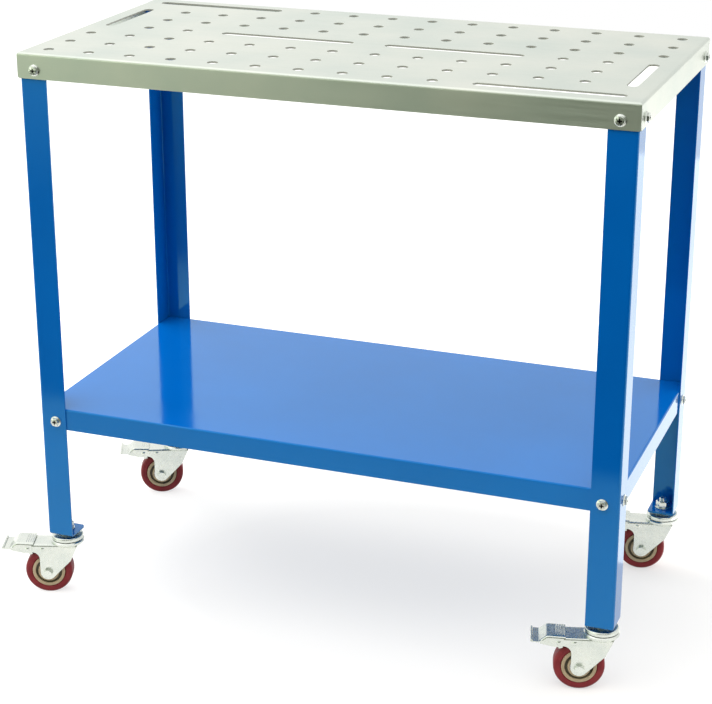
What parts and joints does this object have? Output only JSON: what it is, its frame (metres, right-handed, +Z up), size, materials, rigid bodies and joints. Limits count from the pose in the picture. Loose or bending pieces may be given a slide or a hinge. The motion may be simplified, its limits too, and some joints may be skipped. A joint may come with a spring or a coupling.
{
  "type": "mobile welding table",
  "caption": "Welding table on braked swivel casters: perforated folded-sheet top with fixture holes and slots, blue angle legs and a lower shelf.",
  "frame": {"origin": "on the floor, under the middle of the whole object's box", "axes": "+X along the table towards the right-hand end, +Y from the front to the back, +Z up"},
  "size_m": [1.0002, 0.4896, 0.872],
  "materials": {
    "top_plate": "zinc plated sheet, satin, faint cloudy grain",
    "blue_coat": "gloss blue powder coat",
    "bright_zinc": "bright zinc plating",
    "tyre_tread": "dark red polyurethane, semi-gloss",
    "wheel_core": "tan moulded plastic",
    "bearing_steel": "ground steel"
  },
  "bodies": {
    "frame": {"tabletop": "top_plate", "lower_shelf": "blue_coat", "front_left_leg": "blue_coat", "front_right_leg": "blue_coat", "back_left_leg": "blue_coat", "back_right_leg": "blue_coat", "top_bolts": "bright_zinc", "top_nuts": "bright_zinc", "shelf_bolts": "bright_zinc", "shelf_nuts": "bright_zinc", "caster_stems": "bright_zinc", "upper_races": "bright_zinc", "stem_retainers": "bright_zinc", "jam_nuts": "bright_zinc", "foot_washers": "bright_zinc", "foot_nuts": "bright_zinc"},
    "front_left_swivel": {"front_left_fork": "bright_zinc", "front_left_swivel_balls": "bearing_steel", "front_left_brake_rivets": "bright_zinc", "front_left_axle_bolt": "bright_zinc", "front_left_axle_nut": "bright_zinc", "front_left_axle_sleeve": "bearing_steel"},
    "front_left_wheel": {"front_left_tyre": "tyre_tread", "front_left_wheel_core": "wheel_core", "front_left_wheel_bearings": "bearing_steel"},
    "front_left_brake": {"front_left_brake_pedal": "bright_zinc", "front_left_brake_shoe": "bright_zinc"},
    "front_right_swivel": {"front_right_fork": "bright_zinc", "front_right_swivel_balls": "bearing_steel", "front_right_brake_rivets": "bright_zinc", "front_right_axle_bolt": "bright_zinc", "front_right_axle_nut": "bright_zinc", "front_right_axle_sleeve": "bearing_steel"},
    "front_right_wheel": {"front_right_tyre": "tyre_tread", "front_right_wheel_core": "wheel_core", "front_right_wheel_bearings": "bearing_steel"},
    "front_right_brake": {"front_right_brake_pedal": "bright_zinc", "front_right_brake_shoe": "bright_zinc"},
    "back_left_swivel": {"back_left_fork": "bright_zinc", "back_left_swivel_balls": "bearing_steel", "back_left_brake_rivets": "bright_zinc", "back_left_axle_bolt": "bright_zinc", "back_left_axle_nut": "bright_zinc", "back_left_axle_sleeve": "bearing_steel"},
    "back_left_wheel": {"back_left_tyre": "tyre_tread", "back_left_wheel_core": "wheel_core", "back_left_wheel_bearings": "bearing_steel"},
    "back_left_brake": {"back_left_brake_pedal": "bright_zinc", "back_left_brake_shoe": "bright_zinc"},
    "back_right_swivel": {"back_right_fork": "bright_zinc", "back_right_swivel_balls": "bearing_steel", "back_right_brake_rivets": "bright_zinc", "back_right_axle_bolt": "bright_zinc", "back_right_axle_nut": "bright_zinc", "back_right_axle_sleeve": "bearing_steel"},
    "back_right_wheel": {"back_right_tyre": "tyre_tread", "back_right_wheel_core": "wheel_core", "back_right_wheel_bearings": "bearing_steel"},
    "back_right_brake": {"back_right_brake_pedal": "bright_zinc", "back_right_brake_shoe": "bright_zinc"}
  },
  "joints": [
    {"name": "front_left_swivel_turn", "type": "hinge", "parent": "frame", "child": "front_left_swivel", "pos_m": [-0.39636, -0.19171, 0.0935], "axis": [0, 0, 1], "continuous": true},
    {"name": "front_left_wheel_spin", "type": "hinge", "parent": "front_left_swivel", "child": "front_left_wheel", "pos_m": [-0.42567, -0.20181, 0.0375], "axis": [-0.3256, 0.9455, 0], "continuous": true},
    {"name": "front_left_brake_press", "type": "hinge", "parent": "front_left_swivel", "child": "front_left_brake", "pos_m": [-0.4546, -0.21177, 0.0795], "axis": [0.3256, -0.9455, 0], "range_deg": [0, 14]},
    {"name": "front_right_swivel_turn", "type": "hinge", "parent": "frame", "child": "front_right_swivel", "pos_m": [0.47064, -0.19171, 0.0935], "axis": [0, 0, 1], "continuous": true},
    {"name": "front_right_wheel_spin", "type": "hinge", "parent": "front_right_swivel", "child": "front_right_wheel", "pos_m": [0.44084, -0.20026, 0.0375], "axis": [-0.2756, 0.9613, 0], "continuous": true},
    {"name": "front_right_brake_press", "type": "hinge", "parent": "front_right_swivel", "child": "front_right_brake", "pos_m": [0.41143, -0.20869, 0.0795], "axis": [0.2756, -0.9613, 0], "range_deg": [0, 14]},
    {"name": "back_left_swivel_turn", "type": "hinge", "parent": "frame", "child": "back_left_swivel", "pos_m": [-0.39636, 0.21529, 0.0935], "axis": [0, 0, 1], "continuous": true},
    {"name": "back_left_wheel_spin", "type": "hinge", "parent": "back_left_swivel", "child": "back_left_wheel", "pos_m": [-0.42468, 0.20268, 0.0375], "axis": [-0.4067, 0.9135, 0], "continuous": true},
    {"name": "back_left_brake_press", "type": "hinge", "parent": "back_left_swivel", "child": "back_left_brake", "pos_m": [-0.45263, 0.19023, 0.0795], "axis": [0.4067, -0.9135, 0], "range_deg": [0, 14]},
    {"name": "back_right_swivel_turn", "type": "hinge", "parent": "frame", "child": "back_right_swivel", "pos_m": [0.47064, 0.21529, 0.0935], "axis": [0, 0, 1], "continuous": true},
    {"name": "back_right_wheel_spin", "type": "hinge", "parent": "back_right_swivel", "child": "back_right_wheel", "pos_m": [0.44032, 0.20884, 0.0375], "axis": [-0.2079, 0.9781, 0], "continuous": true},
    {"name": "back_right_brake_press", "type": "hinge", "parent": "back_right_swivel", "child": "back_right_brake", "pos_m": [0.41039, 0.20248, 0.0795], "axis": [0.2079, -0.9781, 0], "range_deg": [0, 14]}
  ]
}
